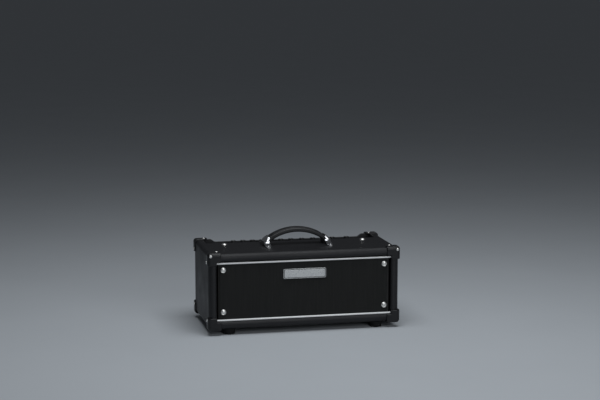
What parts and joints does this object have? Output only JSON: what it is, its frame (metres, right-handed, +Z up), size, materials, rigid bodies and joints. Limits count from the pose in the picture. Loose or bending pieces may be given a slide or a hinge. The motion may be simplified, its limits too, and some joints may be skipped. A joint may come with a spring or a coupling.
{
  "type": "guitar amp head",
  "caption": "Compact guitar amp head: vinyl-covered box with a cloth front, silver piping, corner protectors, arched handle and a recessed row of knobs along the rear top edge.",
  "frame": {"origin": "on the floor under the centre of the bounding box", "axes": "+X to the right end seen from the front, +Y to the rear, +Z up; the cloth front faces -Y"},
  "size_m": [0.471, 0.229, 0.2385],
  "materials": {
    "covering": "black embossed vinyl covering, satin",
    "grille_cloth": "black woven grille cloth",
    "baffle_wood": "black painted board",
    "silver_piping": "silver-white satin piping",
    "chrome": "polished chrome plate",
    "moulded_black": "moulded black plastic",
    "handle_black": "soft moulded black plastic",
    "rubber": "black rubber",
    "black_steel": "black powder coat",
    "plated_steel": "bright plated",
    "circuit_board": "green circuit board",
    "cone_paper": "dark pressed paper"
  },
  "bodies": {
    "cabinet": {"cabinet_left_side": "covering", "cabinet_right_side": "covering", "cabinet_top": "covering", "cabinet_bottom": "covering", "cabinet_rear_rail": "covering", "grille_screw_lower_left": "chrome", "grille_screw_upper_left": "chrome", "grille_screw_lower_right": "chrome", "grille_screw_upper_right": "chrome", "corner_front_lower_left": "moulded_black", "corner_front_upper_left": "moulded_black", "corner_rear_lower_left": "moulded_black", "corner_rear_upper_left": "moulded_black", "corner_front_lower_right": "moulded_black", "corner_front_upper_right": "moulded_black", "corner_rear_lower_right": "moulded_black", "corner_rear_upper_right": "moulded_black", "foot_front_left": "rubber", "foot_rear_left": "rubber", "foot_front_right": "rubber", "foot_rear_right": "rubber", "input_jack": "plated_steel", "jack_foot_switch": "plated_steel", "jack_line_out": "plated_steel", "jack_speaker_out": "plated_steel", "front_baffle": "baffle_wood", "grille_cloth": "grille_cloth", "piping_top": "silver_piping", "piping_bottom": "silver_piping", "name_plate": "silver_piping", "handle_strap": "handle_black", "handle_bracket_left": "chrome", "handle_bracket_right": "chrome", "control_panel": "black_steel", "rear_panel": "black_steel", "rear_cover": "black_steel", "chassis_floor": "plated_steel", "ac_inlet": "moulded_black", "speaker_frame": "black_steel", "control_board": "circuit_board", "power_amp_heat_sink": "plated_steel", "mains_transformer": "plated_steel"},
    "knob_amp_type": {"knob_amp_type": "moulded_black"},
    "knob_gain": {"knob_gain": "moulded_black"},
    "knob_volume": {"knob_volume": "moulded_black"},
    "knob_bass": {"knob_bass": "moulded_black"},
    "knob_middle": {"knob_middle": "moulded_black"},
    "knob_treble": {"knob_treble": "moulded_black"},
    "knob_booster": {"knob_booster": "moulded_black"},
    "knob_effects": {"knob_effects": "moulded_black"},
    "knob_reverb": {"knob_reverb": "moulded_black"},
    "knob_presence": {"knob_presence": "moulded_black"},
    "knob_master": {"knob_master": "moulded_black"},
    "knob_power_control": {"knob_power_control": "moulded_black"},
    "button_channel_1": {"button_channel_1": "moulded_black"},
    "button_channel_2": {"button_channel_2": "moulded_black"},
    "button_channel_3": {"button_channel_3": "moulded_black"},
    "button_tap": {"button_tap": "moulded_black"},
    "power_rocker": {"power_rocker": "moulded_black"},
    "speaker_cone": {"speaker_cone": "cone_paper"}
  },
  "joints": [
    {"name": "knob_amp_type_turn", "type": "hinge", "parent": "cabinet", "child": "knob_amp_type", "pos_m": [-0.1405, 0.074, 0.179], "axis": [0, 0, 1], "range_deg": [-75, 75]},
    {"name": "knob_gain_turn", "type": "hinge", "parent": "cabinet", "child": "knob_gain", "pos_m": [-0.1165, 0.074, 0.179], "axis": [0, 0, 1], "range_deg": [-150, 150]},
    {"name": "knob_volume_turn", "type": "hinge", "parent": "cabinet", "child": "knob_volume", "pos_m": [-0.0925, 0.074, 0.179], "axis": [0, 0, 1], "range_deg": [-150, 150]},
    {"name": "knob_bass_turn", "type": "hinge", "parent": "cabinet", "child": "knob_bass", "pos_m": [-0.0685, 0.074, 0.179], "axis": [0, 0, 1], "range_deg": [-150, 150]},
    {"name": "knob_middle_turn", "type": "hinge", "parent": "cabinet", "child": "knob_middle", "pos_m": [-0.0445, 0.074, 0.179], "axis": [0, 0, 1], "range_deg": [-150, 150]},
    {"name": "knob_treble_turn", "type": "hinge", "parent": "cabinet", "child": "knob_treble", "pos_m": [-0.0205, 0.074, 0.179], "axis": [0, 0, 1], "range_deg": [-150, 150]},
    {"name": "knob_booster_turn", "type": "hinge", "parent": "cabinet", "child": "knob_booster", "pos_m": [0.005, 0.074, 0.179], "axis": [0, 0, 1], "range_deg": [-150, 150]},
    {"name": "knob_effects_turn", "type": "hinge", "parent": "cabinet", "child": "knob_effects", "pos_m": [0.033, 0.074, 0.179], "axis": [0, 0, 1], "range_deg": [-150, 150]},
    {"name": "knob_reverb_turn", "type": "hinge", "parent": "cabinet", "child": "knob_reverb", "pos_m": [0.061, 0.074, 0.179], "axis": [0, 0, 1], "range_deg": [-150, 150]},
    {"name": "knob_presence_turn", "type": "hinge", "parent": "cabinet", "child": "knob_presence", "pos_m": [0.086, 0.074, 0.179], "axis": [0, 0, 1], "range_deg": [-150, 150]},
    {"name": "knob_master_turn", "type": "hinge", "parent": "cabinet", "child": "knob_master", "pos_m": [0.111, 0.074, 0.179], "axis": [0, 0, 1], "range_deg": [-150, 150]},
    {"name": "knob_power_control_turn", "type": "hinge", "parent": "cabinet", "child": "knob_power_control", "pos_m": [0.148, 0.074, 0.179], "axis": [0, 0, 1], "range_deg": [-45, 45]},
    {"name": "button_channel_1_press", "type": "slide", "parent": "cabinet", "child": "button_channel_1", "axis": [0, 0, -1], "range_m": [0, 0.0012], "stiffness_N_per_m": 200},
    {"name": "button_channel_2_press", "type": "slide", "parent": "cabinet", "child": "button_channel_2", "axis": [0, 0, -1], "range_m": [0, 0.0012], "stiffness_N_per_m": 200},
    {"name": "button_channel_3_press", "type": "slide", "parent": "cabinet", "child": "button_channel_3", "axis": [0, 0, -1], "range_m": [0, 0.0012], "stiffness_N_per_m": 200},
    {"name": "button_tap_press", "type": "slide", "parent": "cabinet", "child": "button_tap", "axis": [0, 0, -1], "range_m": [0, 0.0012], "stiffness_N_per_m": 200},
    {"name": "power_rocker_tilt", "type": "hinge", "parent": "cabinet", "child": "power_rocker", "pos_m": [0.187, 0.074, 0.178], "axis": [1, 0, 0], "range_deg": [0, 12]},
    {"name": "speaker_cone_travel", "type": "slide", "parent": "cabinet", "child": "speaker_cone", "axis": [0, -1, 0], "range_m": [-0.002, 0.002], "stiffness_N_per_m": 1500}
  ]
}
